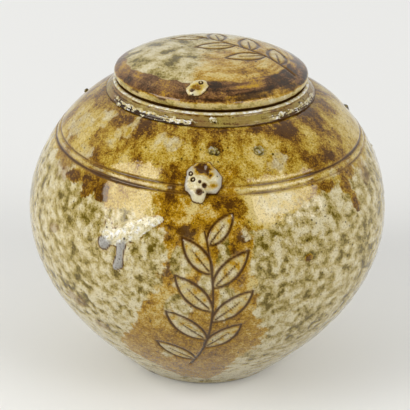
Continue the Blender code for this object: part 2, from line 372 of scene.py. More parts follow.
def joined(name, skins, body, material, ring=False):
    """One closed mesh from skins that follow each other down one outline, which a ring's outline closes."""
    faces, first, previous = [], 0, None
    for skin in skins:
        faces += grid_faces(skin.rows, skin.columns, first)
        if previous is not None:
            faces += bridge(previous, (first, skin.columns))
        previous = (first + (skin.rows - 1) * skin.columns, skin.columns)
        first += skin.rows * skin.columns
    faces += bridge(previous, (0, skins[0].columns)) if ring else end_faces(skins[0].columns, *previous)
    fields = {
        field: np.concatenate([skin.fields.get(field, np.zeros(len(skin.run))) for skin in skins])
        for field in sorted({field for skin in skins for field in skin.fields})
    }
    return new_piece(name, np.vstack([skin.moved() for skin in skins]), faces, fields, body, material)


def bridge(upper, lower):
    """Faces between two rings whose counts of columns are whole multiples."""
    (top, top_count), (low, low_count) = upper, lower
    many, few = max(top_count, low_count), min(top_count, low_count)
    step = many // few
    faces = []
    for i in range(few):
        long_side = [(i * step + k) % many for k in range(step + 1)]
        short_side = [i, (i + 1) % few]
        above, below = (long_side, short_side) if top_count >= low_count else (short_side, long_side)
        faces.append([low + k for k in below] + [top + k for k in reversed(above)])
    return faces


def new_piece(name, points, faces, fields, body, material):
    """A smooth mesh that carries its fields as attributes and rides a body."""
    mesh = bpy.data.meshes.new(name)
    mesh.from_pydata(np.asarray(points).tolist(), [], faces)
    for field, values in fields.items():
        mesh.attributes.new(field, "FLOAT", "POINT").data.foreach_set("value", values.astype(np.float32))
    mesh.shade_smooth()
    mesh.materials.append(material)
    piece = bpy.data.objects.new(name, mesh)
    bpy.context.scene.collection.objects.link(piece)
    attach(piece, body)
    return piece


# Places of the marks. Bearings are in degrees, and lengths in the lists are in millimetres.

FRONT = -91.0
PAD_BEARING = -92.0
LID_PAD_BEARING = -99.0
PAD_TOP, PAD_TIP = 0.1335, 0.1168
BRANCH_BEARING, BRANCH_TOP = -90.0, 0.1165
# Bearing, height and half width of the drips of kiln glass on the shoulder
KILN_DRIPS = [
    (-88.4, 136.8, 2.2), (-86.8, 136, 1.4), (-68.7, 136.6, 2.4), (14.5, 128.8, 2.6), (6.4, 112.2, 1.6),
    (163, 134, 1.2),
]
# Marks on the pads, right and up from the middle: hollows with reach and depth, pinholes with radius,
# bubbles burst to a dark ring, and dents in the outline with heading, half width and depth as a share
FRONT_PAD_MARKS = {
    "taper": 0.16, "turn": -3, "rim": 1.0, "dents": [(-57, 19, 0.46), (184, 24, 0.08), (60, 12, 0.04)],
    "hollows": [(0.4, 6.6, 4.6, 1.0), (2.4, 3.8, 3.0, 0.65), (5.0, -1.8, 2.0, 0.6)],
    "holes": [(-1.2, -0.1, 0.9), (0.9, -1.6, 1.3), (-1.2, -4.7, 1.9)],
    "bubbles": [(-5.6, 3.6, 1.4), (-4.2, 0.8, 1.3)],
}
LID_PAD_MARKS = {
    "taper": 0.0, "turn": 56, "rim": 0.1, "dents": [(100, 30, 0.05)], "hollows": [(0.0, -0.4, 2.4, 0.95)],
    "holes": [(-1.6, -2.8, 1.4)], "bubbles": [(1.4, 2.0, 1.4)],
}


def wall_bearings(relief):
    """Columns round the wall, closest together at the front."""
    away = np.radians(np.linspace(-180, 180, 3601))
    widening = smooth(radians(16), radians(55), np.abs(away))
    spacing = relief.front_spacing + (relief.back_spacing - relief.front_spacing) * widening
    count = np.concatenate([[0], np.cumsum(np.diff(away) / spacing[1:])])
    columns = INNER_STEP * round(count[-1] * body_high.x / INNER_STEP)
    places = np.arange(columns) / columns * count[-1]
    return radians(FRONT) + np.interp(places, count, away)


class Drawing:
    """Carved marks on flat coordinates: across to the right and up."""

    def __init__(self, across, up, line_width):
        self.across, self.up = across, up
        wander = gradient_noise(np.column_stack([across, up, up]) / 0.006, 151)
        self.line_width = line_width * (1 + 0.25 * wander)
        self.carved = np.full(len(across), -1.0)
        self.inside = np.zeros(len(across))

    def carve(self, gap, half):
        """Keeps a line as a share: 1 in its middle and 0 at half its width."""
        self.carved = np.maximum(self.carved, 1 - gap / half)

    def stroke(self, points, widths):
        """A tapering stroke through some points."""
        for a, b, wide, narrow in zip(points, points[1:], widths, widths[1:]):
            run = np.subtract(b, a)
            x, y = self.across - a[0], self.up - a[1]
            reach = np.clip((x * run[0] + y * run[1]) / (run @ run), 0, 1)
            half = (wide + (narrow - wide) * reach) * self.line_width / 2
            self.carve(np.hypot(x - reach * run[0], y - reach * run[1]), half)

    def leaf(self, root, width, long, lean):
        """A pointed leaf with its rib, leaning to the right of upright."""
        x, y = self.across - root[0], self.up - root[1]
        along = (x * sin(lean) + y * cos(lean)) / long
        side = np.abs(x * cos(lean) - y * sin(lean)) / (width / 2)
        held = np.clip(along, 0, 1)
        edge = 1 - np.abs(2 * held**0.9 - 1) ** 2.1
        beyond = np.abs(along - held) * long
        self.carve(np.hypot((side - edge) * width / 2 * 0.92, beyond), self.line_width / 2)
        self.inside = np.maximum(self.inside, smooth(0, 0.4, edge - side) * (beyond == 0))
        heading = np.array([sin(lean), cos(lean)]) * long
        self.stroke([root + heading * 0.10, root + heading * 0.66], (0.75, 0.35))

    def branch(self, start, bend, end, leaves):
        """A bent stem and its leaves: place on the stem, width, length and lean of each."""
        stem = curved(start, bend, end)
        self.stroke(stem, np.linspace(1.15, 0.7, len(stem)))
        for place, width, long, lean in leaves:
            self.leaf(stem[place], width * MM, long * MM, radians(lean))


def even_spread(values, middle, spread):
    """The same pattern with this mean and this standard deviation."""
    return middle + spread * (values - values.mean()) / values.std()


def curved(start, bend, end, count=14):
    """Points along a stroke that bends towards one handle."""
    t = np.linspace(0, 1, count)[:, None]
    start, bend, end = map(np.asarray, (start, bend, end))
    return list(start * (1 - t) ** 2 + bend * 2 * t * (1 - t) + end * t * t)


def spot(skin, bearing, height, width, tall, warp):
    """A soft oval patch round a place, as a share."""
    across = turned_from(radians(bearing), skin.bearing) * skin.radius
    distance = np.hypot(across / (width * MM), (skin.height - height * MM) / (tall * MM)) + warp
    return 1 - smooth(0.45, 1.0, distance)


def patches_at(skin, places, warp):
    """Soft oval patches at several places, as a share."""
    return np.maximum.reduce([spot(skin, *place, warp) for place in places])


# Bearing and the height down to which the glaze is smooth there
SMOOTH_LIMITS = [
    (-180, 118.5), (-150, 118), (-134, 116.5), (-127, 112.5), (-121, 110), (-98, 109), (-84, 110),
    (-74, 106.5), (-68, 108.5), (-62, 112), (-54, 115.5), (-46, 118), (0, 119), (60, 116.5), (120, 120),
]
# Bearing, height, half width and half length of the patches on the wall
BROWN_SPOTS = [
    (-123.5, 141, 3.6, 3.2), (-143, 116.5, 5, 5), (-135, 115, 7, 5), (-129, 115.5, 6, 4.5),
    (-84, 143.2, 7, 1.2), (-68, 143, 7, 1.4), (-52, 140, 5.5, 3), (-40, 128.5, 8, 3.6), (-36.5, 117, 8, 6.5),
    (-35, 108.5, 3.4, 6), (-58, 90.5, 3.6, 2.2), (-46, 119, 7, 3), (-88.1, 137.8, 5.2, 2.6),
    (-68.7, 136.8, 3.6, 3), (-144.5, 117.2, 4, 4), (20, 135, 12, 6), (75, 125, 10, 8), (120, 138, 13, 5),
    (165, 118, 9, 8),
]
CREAM_SPOTS = [
    (-144, 126.5, 6, 4.2), (-134, 135, 5, 4), (-147, 139.5, 7, 5), (-129.5, 139.5, 4.5, 4),
    (-108, 138.5, 9, 3), (-160, 133, 12, 8), (-62, 131, 8, 4), (-66, 116.5, 12, 7), (-40, 121.5, 4, 2.5),
    (10, 127, 14, 6), (60, 137, 15, 5), (140, 128, 12, 7),
]
# Painted violet sheen, in patches round the wall, most of them at the jar's sides
VIOLET_SHEEN_SPOTS = [
    (-152, 118.5, 10, 7.5), (-137, 56, 8, 5), (-128, 44, 5, 3.5), (-22, 115, 8, 8), (-146, 90, 5, 4),
    (50, 90, 12, 8), (140, 70, 11, 9),
]
# Place on the stem, width, length and lean from upright of the leaves on the wall and on the lid
WALL_LEAVES = [
    (1, 8.8, 24, -52), (3, 9.2, 25, 44), (4, 9.6, 27, -47), (6, 9.2, 26, 47), (7, 9.4, 26, -44),
    (9, 8.8, 24, 42), (10, 8.6, 22, -40), (12, 7.8, 19, 36),
]
LID_LEAVES = [
    (2, 9, 20, -8), (4, 9, 21, -112), (6, 9.5, 21, -4), (8, 9, 20, -104), (10, 8.5, 18, -10),
    (12, 8, 16, -92),
]
# Height, then the amber flow's left and right bearings
AMBER_FLOW = [
    (145, -97, -88), (128, -103, -80), (116, -108, -79), (105, -103, -77.5), (94, -101, -77),
    (80, -103, -76), (66, -110, -74), (52, -114, -70), (40, -120, -72), (28, -123, -76), (18, -112, -80),
    (10, -102, -84), (0, -98, -88),
]
# Bearing, height, half width and half length of the pale windows in the amber and of its darkest pools
AMBER_GAPS = [
    (-97.5, 90, 6.5, 12), (-84.5, 96, 5.5, 13), (-83.5, 74, 5, 12), (-98, 69, 7, 9), (-90, 80, 4, 12),
    (-104, 33, 5, 6),
]
AMBER_POOLS = [
    (-101, 116.5, 7.5, 7.5), (-80, 116.5, 7, 6), (-76.5, 106, 5.5, 7), (-98, 107, 10, 4),
    (-86.5, 62, 1.8, 11), (-100, 45, 3, 10), (-80, 48, 5, 4),
]
# Bearing, height and width along the white run, its stem on the left and its two grey drips
WHITE_RUN = [
    (-104.5, 110, 2.2), (-108, 108, 5), (-112.5, 103.5, 8.8), (-116.4, 100, 8.4), (-120.4, 98, 7.8),
    (-121.6, 99, 5.6), (-121.9, 104.5, 3.4),
]
GREY_DRIPS = [
    [(-120.8, 97.5, 4.6), (-122.6, 95, 5.4)],
    [(-116.6, 98.5, 5), (-116.5, 91, 3), (-116.9, 86.8, 4.4), (-117.8, 84.8, 2.6)],
]


def along_marks(skin, marks):
    """How far inside a run each place is, from its line at 1 to its edge at 0 and beyond."""
    outline = skin.ground.outline
    rows = [np.argmin(np.abs(outline[:, 1] - height * MM)) for _, height, _ in marks]
    runs = skin.ground.run[rows]
    inside = np.full(len(skin.run), -9.0)
    for i in range(len(marks) - 1):
        (start, _, wide), (end, _, narrow) = marks[i], marks[i + 1]
        x, y = turned_from(radians(start), skin.bearing) * skin.radius, skin.run - runs[i]
        way = np.array([radians(end - start) * outline[rows[i], 0], runs[i + 1] - runs[i]])
        reach = np.clip((x * way[0] + y * way[1]) / (way @ way), 0, 1)
        gap = np.hypot(x - reach * way[0], y - reach * way[1])
        inside = np.maximum(inside, 1 - gap / ((wide + (narrow - wide) * reach) * MM / 2))
    return inside


def wall_outline(shape, spacing):
    """From the ledge under the collar, down the outside, to the flat of the foot ring."""
    ledge = np.array([[shape.mouth_radius + 0.008, shape.shoulder_height]])
    wall = wall_line(shape)
    line_top = shape.shoulder_height - shape.line_drop + 0.002
    line_low = line_top - 2 * shape.line_spacing
    above = even(wall[wall[:, 1] > line_top], spacing * 1.25)
    lines = even(wall[(wall[:, 1] <= line_top) & (wall[:, 1] > line_low)], spacing * 0.55)
    below = even(wall[wall[:, 1] <= line_low], spacing)
    rounding = shape.foot_rounding
    foot = arc((shape.foot_radius - rounding, rounding), rounding, -0.3, -pi / 2, 4)
    return np.vstack([ledge, above, lines, below[below[:, 1] > rounding], foot])


def turned_lines(skin, shape, bearing, wander):
    """The two lines as cut and as inked, which is fainter in places, and the strip between them."""
    upper = skin.ground.run_at(shape.shoulder_height - shape.line_drop)
    pale_left = 0.40 * smooth(-118, -132, bearing)
    pale_right = 0.35 * window(bearing, -66, -54, -10, 20)
    dark_left = 0.45 * window(bearing, -142, -132, -115, -109)
    cut = inked = np.full(len(skin.run), -1.0)
    for place, pale in ((upper, pale_left), (upper + shape.line_spacing, pale_right - dark_left)):
        line = 1 - np.abs(skin.run - place + 0.0002 * wander) / (shape.line_width / 2)
        cut, inked = np.maximum(cut, line), np.maximum(inked, line - pale)
    centre = np.exp(-(((bearing + 92) / 24) ** 2))
    faint = 0.35 * smooth(-0.1, 0.5, layered_noise(skin.points, 0.02, 27, 2)) + 0.45 * centre
    half = shape.line_spacing / 2
    between = smooth(0.55, 0.25, np.abs(skin.run - upper - half) / half)
    return cut, inked - faint, between


def salt_blisters(skin, bearing, size, wander, cloud):
    """How thick the salt glaze stands: upright blisters above, drawn level round the foot."""
    points, height = skin.points, skin.height
    warp = 0.0010 * np.column_stack([layered_noise(points, 0.006, seed, 2) for seed in (31, 41, 51)])
    upright, level = points * (1.0, 1.0, 0.97) + warp, points * (0.62, 0.62, 1.45) + warp
    cells = 0.50 - cell_noise(upright, size, 71)
    blisters = 0.95 * layered_noise(upright, size, 61, 4, 0.52) + 0.34 * cells
    rows = layered_noise(level, size, 81) + 0.05
    low = smooth(0.048, 0.022, height)
    blister = blisters * (1 - low) + rows * low + 0.10 * wander + 0.22 * cloud
    blister -= 0.05 * window(bearing, -48, -25, 0, 40)
    blister = even_spread(blister + 0.08 * layered_noise(points, 0.0016, 65, 2), 0.56, 0.28)
    lower_part = smooth(0.085, 0.050, height)
    blister += 0.35 * lower_part * smooth(-60, -80, bearing) * (blister - 0.52)
    paler_low = (0.02 + 0.10 * smooth(-80, -105, bearing)) * lower_part + 0.12 * low
    return np.clip(blister + paler_low, 0, 1)


# Shifts of the shoulder's tone: amount, the bearings where it rises, is full, fades and is gone,
# and the heights in millimetres between which it comes in, which are below the foot for the whole shoulder
TONE_SHIFTS = [
    (-0.25, (-66, -54, -30, -5), (118, 127)), (0.24, (-34, -12, 40, 60), (138.5, 135)),
    (-0.16, (-150, -138, -130, -122), (-2, -1)), (0.10, (-128, -122, -108, -102), (132, 126)),
    (-0.07, (-106, -100, -86, -80), (132, 126)), (0.28, (-80, -76, -62, -56), (128, 122)),
]
# Heights above the foot and runs below the collar over which the relief comes in
FOOT_FADE, COLLAR_FADE = (0.0008, 0.0040), (0.0062, 0.0085)


def dress_wall(skin, shape, relief):
    """Relief and fields of the outside wall."""
    points, height = skin.points, skin.height
    flow = placed_at(skin.bearing, FLOW_RADIUS, skin.run * FLOW_STRETCH)
    turn = turned_from(radians(FRONT), skin.bearing)
    bearing = np.degrees(turn) + FRONT
    wander = layered_noise(points, 0.012, 11)
    fine = layered_noise(points, 0.004, 21, 2)
    cloud = layered_noise(points, 0.024, 171, 2)
    ragged = layered_noise(flow, 0.0052, 91)
    lines, inked, between = turned_lines(skin, shape, bearing, wander)
    mottle = salt_blisters(skin, bearing, relief.mottle_size, wander, cloud)
    brown, cream, blush, gap, pool = (
        patches_at(skin, places, ragged)
        for places in (BROWN_SPOTS, CREAM_SPOTS, VIOLET_SHEEN_SPOTS, AMBER_GAPS, AMBER_POOLS)
    )
    limits = np.array(SMOOTH_LIMITS)
    limit = np.interp(bearing, limits[:, 0], limits[:, 1] * MM, period=360)
    shoulder = smooth(-0.0035, 0.0035, height - limit + 0.006 * layered_noise(flow, 0.006, 25))
    shoulder = np.maximum(shoulder, smooth(0.15, 0.6, brown))

    # The amber flow
    heights, *edges = np.array(AMBER_FLOW)[::-1].T
    left, right = (np.interp(height, heights * MM, edge) for edge in edges)
    inside = np.minimum(bearing - left, right - bearing) * pi / 180 * skin.radius
    drift = inside + 0.0055 * wander + 0.0016 * fine + 0.0050 * (0.62 - mottle)
    amber = smooth(-0.0030, 0.0030, drift)
    amber_edge = amber * smooth(0.0075, 0.0015, drift) * smooth(-0.1, 0.35, wander)
    amber *= (1 - 0.85 * gap) * smooth(0.006, 0.011, height + 0.004 * wander)
    amber *= 1 - 0.8 * smooth(0.126, 0.134, height)

    # Light and dark in the amber and on the shoulder
    tone = even_spread(layered_noise(flow, 0.010, 161, 4, 0.65), 0.635, 0.150) + 0.06 * cloud - 0.42 * brown
    tone -= 0.20 * smooth(0.1370, 0.1425, height + 0.002 * ragged)
    for amount, bearings, levels in TONE_SHIFTS:
        tone += amount * window(bearing, *bearings) * smooth(*levels, height / MM)
    tone -= 0.05 * smooth(-100, -112, bearing) * smooth(0.124, 0.130, height)
    tone -= 0.34 * amber_edge * smooth(0.045, 0.080, height) + 0.32 * pool
    runs = even_spread(layered_noise(flow, 0.0065, 167, 4), 0, 0.17)
    upper_part = smooth(0.050, 0.085, height)
    tone += amber * (runs * (0.35 + 0.65 * upper_part) - 0.13 + 0.05 * upper_part)
    tone += 0.70 * amber * smooth(0.074, 0.048, height) * (0.49 - tone)
    back = smooth(95, 130, np.abs(np.degrees(turn)))
    clouds_behind = smooth(0.12, 0.30, layered_noise(flow, 0.022, 101) + 0.2 * wander)
    amber = np.maximum(amber, back * clouds_behind * smooth(0.01, 0.03, height))

    # The leafy branch
    across = np.radians(bearing - BRANCH_BEARING) * skin.radius
    drawing = Drawing(across, skin.ground.run_at(BRANCH_TOP) - skin.run, relief.carved_width)
    drawing.branch((-0.006, -0.098), (0.011, -0.055), (-0.001, -0.011), WALL_LEAVES)

    # The white run and its drips
    crust = along_marks(skin, WHITE_RUN) + 0.45 * ragged + 0.25 * fine
    drip = np.maximum.reduce([along_marks(skin, marks) for marks in GREY_DRIPS]) + 0.15 * fine
    # A dark line round the grey drips, painted shadow under their raised edge, and a dark line along the
    # crust's edge
    outline = np.maximum(
        window(drip, -0.50, -0.12, -0.02, 0.22) * smooth(0.3, -0.1, crust),
        window(crust, -0.35, -0.10, -0.05, 0.10) * smooth(0.1, -0.3, fine),
    )

    # Relief, which fades out at the foot's edge and under the collar
    deep = (1 - shoulder) * (1 - 0.72 * amber) * (1 - 0.6 * drawing.inside)
    skin.relief -= relief.mottle_depth * (1 - mottle) * (0.10 + 0.90 * deep)
    skin.relief += relief.ripple_depth * layered_noise(points, relief.ripple_size, 111, 2)
    skin.relief -= shape.line_depth * smooth(0, 0.8, lines)
    skin.relief -= relief.carved_depth * smooth(0, 0.9, drawing.carved)
    skin.relief += relief.crust_height * smooth(-0.1, 0.4, crust) * (0.8 + 0.9 * fine)
    skin.relief += relief.drip_height * np.sqrt(np.clip(drip, 0, 1)) - relief.wall_inset
    fuller = window(height, 0.088, 0.112, 0.135, 0.152) * window(bearing, -75, -30, 15, 60)
    skin.relief += relief.right_fullness * fuller
    skin.relief *= smooth(*FOOT_FADE, height) * smooth(*COLLAR_FADE, skin.run)
    skin.fields = {
        "mottle": mottle, "shoulder": shoulder, "amber": amber, "blush": blush, "leaf": drawing.inside,
        "cream": np.maximum(cream, 0.62 * between * shoulder), "tone": tone,
        "groove": np.maximum.reduce([inked, drawing.carved, 1.3 * outline - 0.35]),
        "crust": smooth(-0.30, 0.30, crust),
        "glass": smooth(-0.08, 0.10, drip) * smooth(0.75, 0.20, crust),
    }


# Shader nodes

def feed(tree, node, inputs):
    """Puts values or links on a node's inputs."""
    for name, value in inputs.items():
        socket = node.inputs[name]
        if isinstance(value, bpy.types.NodeSocket):
            tree.links.new(value, socket)
        else:
            socket.default_value = (*value[:3], 1) if socket.type == "RGBA" else value
    return node


def put(tree, kind, inputs=None, **settings):
    """A node with its settings, and with values or links on its inputs."""
    node = tree.nodes.new(kind)
    for name, value in settings.items():
        setattr(node, name, value)
    return feed(tree, node, inputs or {})


# A Mix node's sockets go by number, because several have the same name
MIX_FACTOR, MIX_FIRST_VALUE, MIX_SECOND_VALUE, MIX_FIRST_COLOUR, MIX_SECOND_COLOUR = 0, 2, 3, 6, 7
MIX_VALUE_OUT, MIX_COLOUR_OUT = 0, 2


def mixed(tree, factor, first, second, blend="MIX"):
    """Two colours mixed by a factor."""
    inputs = {MIX_FACTOR: factor, MIX_FIRST_COLOUR: first, MIX_SECOND_COLOUR: second}
    return put(tree, "ShaderNodeMix", inputs, data_type="RGBA", blend_type=blend).outputs[MIX_COLOUR_OUT]


def maths(tree, kind, first, second):
    return put(tree, "ShaderNodeMath", {0: first, 1: second}, operation=kind).outputs[0]


def ranged(tree, value, low, high, to_low=0.0, to_high=1.0, kind="SMOOTHSTEP"):
    """A value brought from one range to another, by default with soft ends."""
    inputs = {"Value": value, "From Min": low, "From Max": high, "To Min": to_low, "To Max": to_high}
    return put(tree, "ShaderNodeMapRange", inputs, interpolation_type=kind).outputs["Result"]


def noise(tree, vector, size, detail, roughness):
    inputs = {"Vector": vector, "Scale": 1 / size, "Detail": detail, "Roughness": roughness}
    return put(tree, "ShaderNodeTexNoise", inputs).outputs["Fac"]


def new_group(name, inputs, outputs):
    """An empty node group, what it is given and what it makes."""
    group = bpy.data.node_groups.new(name, "ShaderNodeTree")
    for label, kind, value in inputs:
        socket = group.interface.new_socket(label, in_out="INPUT", socket_type=kind)
        if value is not None:
            socket.default_value = value
    for label, kind in outputs:
        group.interface.new_socket(label, in_out="OUTPUT", socket_type=kind)
    return group, group.nodes.new("NodeGroupInput").outputs, group.nodes.new("NodeGroupOutput")


def closed_group(group, made, results):
    """The group, with its results linked to what it makes."""
    feed(group, made, results)
    lay_out(group)
    return group


BLACK = (0, 0, 0, 1)


FLOAT, COLOUR, VECTOR = "NodeSocketFloat", "NodeSocketColor", "NodeSocketVector"


def thickness_group():
    """The colours that one glaze takes from its deepest pools to its thickest places."""
    steps = (("Thin", 0.02, 0.36), ("Middle", 0.26, 0.66), ("Thick", 0.56, 0.98))
    colours = [(name, COLOUR, BLACK) for name in ("Pool", "Thin", "Middle", "Thick")]
    group, given, made = new_group(
        "Glaze by thickness", [("Thickness", FLOAT, 0.5), *colours], [("Colour", COLOUR)]
    )
    colour = given["Pool"]
    for name, low, high in steps:
        colour = mixed(group, ranged(group, given["Thickness"], low, high), colour, given[name])
    return closed_group(group, made, {"Colour": colour})


def grain_group():
    """Fine pepper and scattered iron specks that fire through every glaze on the jar."""
    group, given, made = new_group(
        "Fired grain",
        [("Colour", COLOUR, (0.5, 0.5, 0.5, 1)), ("Vector", VECTOR, None), ("Grain", FLOAT, 0.35),
         ("Specks", FLOAT, 0.3), ("Iron", COLOUR, BLACK)],
        [("Colour", COLOUR)],
    )
    pepper = noise(group, given["Vector"], 0.00085, 2.0, 0.8)
    shade = maths(group, "MULTIPLY", ranged(group, pepper, 0.50, 0.30), given["Grain"])
    darker = mixed(group, 1.0, given["Colour"], (0.30, 0.24, 0.16), "MULTIPLY")
    grained = mixed(group, shade, given["Colour"], darker)
    masks = []
    for size, reach in ((0.0021, 0.30), (0.0042, 0.22)):
        cells = put(group, "ShaderNodeTexVoronoi", {"Vector": given["Vector"], "Scale": 1 / size}).outputs
        chance = put(group, "ShaderNodeSeparateColor", {"Color": cells["Color"]}).outputs[0]
        wide = ranged(group, chance, 0.0, given["Specks"], reach, 0.0, "LINEAR")
        masks.append(ranged(group, maths(group, "SUBTRACT", wide, cells["Distance"]), 0.0, 0.12, 0.0, 0.85))
    speckled = mixed(group, maths(group, "MAXIMUM", *masks), grained, given["Iron"])
    return closed_group(group, made, {"Colour": speckled})


def skin_group():
    """The fine uneven skin of a fired glaze: soft waves, small pits and where it has gone dry."""
    group, given, made = new_group(
        "Glaze skin",
        [("Vector", VECTOR, None), ("Wave Scale", FLOAT, 300.0), ("Pit Scale", FLOAT, 900.0),
         ("Gloss", FLOAT, 0.12), ("Dry", FLOAT, 0.45), ("Dryness", FLOAT, 0.0)],
        [("Height", FLOAT), ("Roughness", FLOAT)],
    )
    where = {"Vector": given["Vector"]}
    waves = put(group, "ShaderNodeTexNoise", {**where, "Scale": given["Wave Scale"], "Detail": 2.0})
    pits = put(group, "ShaderNodeTexVoronoi", {**where, "Scale": given["Pit Scale"]})
    wave = waves.outputs["Fac"]
    height = maths(group, "ADD", wave, ranged(group, pits.outputs["Distance"], 0.0, 0.22, 0.0, 0.35))
    rough = maths(group, "ADD", given["Gloss"], maths(group, "MULTIPLY", wave, 0.06))
    inputs = {MIX_FACTOR: given["Dryness"], MIX_FIRST_VALUE: rough, MIX_SECOND_VALUE: given["Dry"]}
    dried = put(group, "ShaderNodeMix", inputs, data_type="FLOAT").outputs[MIX_VALUE_OUT]
    return closed_group(group, made, {"Height": height, "Roughness": dried})


def lay_out(tree):
    """Places the nodes in columns, from the output back to the inputs."""
    depth = {}

    def walk(node, level):
        if depth.get(node.name, -1) >= level:
            return
        depth[node.name] = level
        for socket in node.inputs:
            for link in socket.links:
                walk(link.from_node, level + 1)

    for node in tree.nodes:
        if not any(socket.is_linked for socket in node.outputs):
            walk(node, 0)
    counts = {}
    for node in tree.nodes:
        level = depth.get(node.name, 0)
        row = counts.get(level, 0)
        counts[level] = row + 1
        node.location = (-240 * level, -200 * row)


FINE_GRAIN = {"size": 0.00095, "detail": 2.0, "roughness": 0.9}
FLAKE_GRAIN = {"size": 0.0030, "detail": 4.0, "roughness": 0.75}
PITS_IN_A_WAVE = 3.2


class Glaze:
    """One fired finish, built up colour over colour."""

    def __init__(self, name, colours):
        self.material = bpy.data.materials.new(name)
        self.material.use_nodes = True
        self.tree, self.colours, self.ground = self.material.node_tree, colours, None
        self.shader = self.tree.nodes["Principled BSDF"]
        feed(self.tree, self.shader, {"IOR": 1.43, "Specular Tint": colours.sheen})
        self.where = self.tree.nodes.new("ShaderNodeTexCoord").outputs["Object"]

    def mask(self, name, share=1.0):
        value = put(self.tree, "ShaderNodeAttribute", attribute_name=name).outputs["Fac"]
        return value if share == 1.0 else self.scaled(value, share)

    def scaled(self, value, share):
        return maths(self.tree, "MULTIPLY", value, share)

    def added(self, total, *values):
        for value in values:
            total = maths(self.tree, "ADD", total, value)
        return total

    def cloud(self, size, low=0.0, high=1.0):
        """A value between low and high that wanders over the surface."""
        return ranged(self.tree, noise(self.tree, self.where, size, 4.0, 0.6), 0.28, 0.72, low, high)

    def grain(self, reach, size, detail, roughness):
        """A fine pattern about zero, for adding to a thickness or a mask."""
        value = noise(self.tree, self.where, size, detail, roughness)
        return self.scaled(maths(self.tree, "SUBTRACT", value, 0.5), reach)

    def broken(self, name, flakes, low=0.3, high=0.7, share=1.0):
        """A mask whose edge is broken up by a finer pattern."""
        return ranged(self.tree, self.added(self.mask(name), flakes), low, high, 0.0, share)

    def colour_by(self, thickness, *names):
        """Four colours from the thinnest pool to the thickest glaze."""
        inputs = {"Thickness": thickness}
        for label, name in zip(("Pool", "Thin", "Middle", "Thick"), names):
            inputs[label] = getattr(self.colours, name)
        return self.grouped("Glaze by thickness", thickness_group, inputs)["Colour"]

    def grouped(self, name, build, inputs):
        """A node group, which is built the first time it is asked for."""
        group = bpy.data.node_groups.get(name) or build()
        return put(self.tree, "ShaderNodeGroup", inputs, node_tree=group).outputs

    def cover(self, factor, colour):
        """Lays a colour over the ground where the factor is."""
        if isinstance(colour, str):
            colour = getattr(self.colours, colour)
        self.ground = mixed(self.tree, factor, self.ground, colour)

    def finish(self, grain=0.35, specks=0.3, gloss=0.10, dry=0.45, dryness=0.0, wave=0.0035, bump=0.00005):
        """The material, with the ground peppered and the skin roughened and raised."""
        peppered = self.grouped("Fired grain", grain_group, {
            "Colour": self.ground, "Vector": self.where, "Grain": grain, "Specks": specks,
            "Iron": self.colours.iron,
        })
        skin = self.grouped("Glaze skin", skin_group, {
            "Vector": self.where, "Wave Scale": 1 / wave, "Pit Scale": PITS_IN_A_WAVE / wave,
            "Gloss": gloss, "Dry": dry, "Dryness": dryness,
        })
        raised = put(self.tree, "ShaderNodeBump", {"Height": skin["Height"], "Distance": bump})
        feed(self.tree, self.shader, {
            "Base Color": peppered["Colour"], "Roughness": skin["Roughness"],
            "Normal": raised.outputs["Normal"],
        })
        lay_out(self.tree)
        return self.material


def grooves_and_shade(glaze, share=0.92):
    """Dark glaze pooled in the turned and carved lines, with a soft brown edge; the same mask also lays
    painted shade and painted shadow lines in umber.
    """
    line = glaze.mask("groove")
    glaze.cover(ranged(glaze.tree, line, -0.55, 0.30, 0.0, 0.6 * share), "rust")
    glaze.cover(ranged(glaze.tree, line, 0.05, 0.70, 0.0, share), "umber")


def wall_glaze(colours):
    glaze = Glaze("jar_glaze", colours)
    grain, flakes = glaze.grain(1.4, **FINE_GRAIN), glaze.grain(1.5, **FLAKE_GRAIN)
    thickness = glaze.added(glaze.mask("mottle"), glaze.scaled(grain, 0.9))
    tone = glaze.added(glaze.mask("tone"), grain, glaze.scaled(flakes, 0.55))
    runny = glaze.added(tone, glaze.scaled(flakes, 0.35))
    belly = glaze.colour_by(thickness, "moss", "olive", "cream", "white")
    pale = glaze.colour_by(thickness, "ochre", "straw", "cream", "white")
    amber = glaze.colour_by(runny, "umber", "rust", "amber", "straw")
    window_colour = glaze.colour_by(thickness, "amber", "straw", "cream", "white")
    crust = glaze.colour_by(glaze.cloud(0.0022), "cream", "white", "white", "frost")
    glaze.ground = glaze.colour_by(tone, "umber", "rust", "ochre", "straw")
    glaze.cover(glaze.broken("cream", flakes, 0.2, 0.9, 0.8), pale)
    glaze.ground = mixed(glaze.tree, glaze.broken("shoulder", flakes), belly, glaze.ground)
    glaze.cover(glaze.broken("amber", flakes, 0.20, 0.80, 0.96), amber)
    glaze.cover(glaze.mask("leaf", 0.92), window_colour)
    # Painted violet sheen
    glaze.cover(glaze.broken("blush", flakes, 0.10, 0.90, 0.42), "mauve")
    grooves_and_shade(glaze)
    glaze.cover(glaze.broken("crust", flakes, 0.35, 0.65), crust)
    glaze.cover(glaze.mask("glass", 0.95), "silver")
    return glaze.finish(grain=0.8, gloss=0.04, dryness=glaze.mask("crust", 0.25))


def collar_glaze(colours):
    glaze = Glaze("collar_glaze", colours)
    grain = glaze.grain(1.3, **FINE_GRAIN)
    thickness = glaze.added(glaze.mask("mottle"), grain)
    flakes = glaze.colour_by(glaze.cloud(0.002), "straw", "cream", "white", "frost")
    glaze.ground = glaze.colour_by(thickness, "umber", "olive", "olive", "cream")
    glaze.cover(glaze.cloud(0.012, 0.0, 0.75), "mauve")
    glaze.cover(glaze.broken("brown", grain, 0.3, 0.8, 0.9), "umber")
    glaze.cover(glaze.broken("brown", grain, 0.9, 1.3, 0.9), "iron")
    glaze.cover(glaze.broken("cream", grain, 0.4, 0.6, 0.95), flakes)
    grooves_and_shade(glaze)
    return glaze.finish(gloss=0.12)


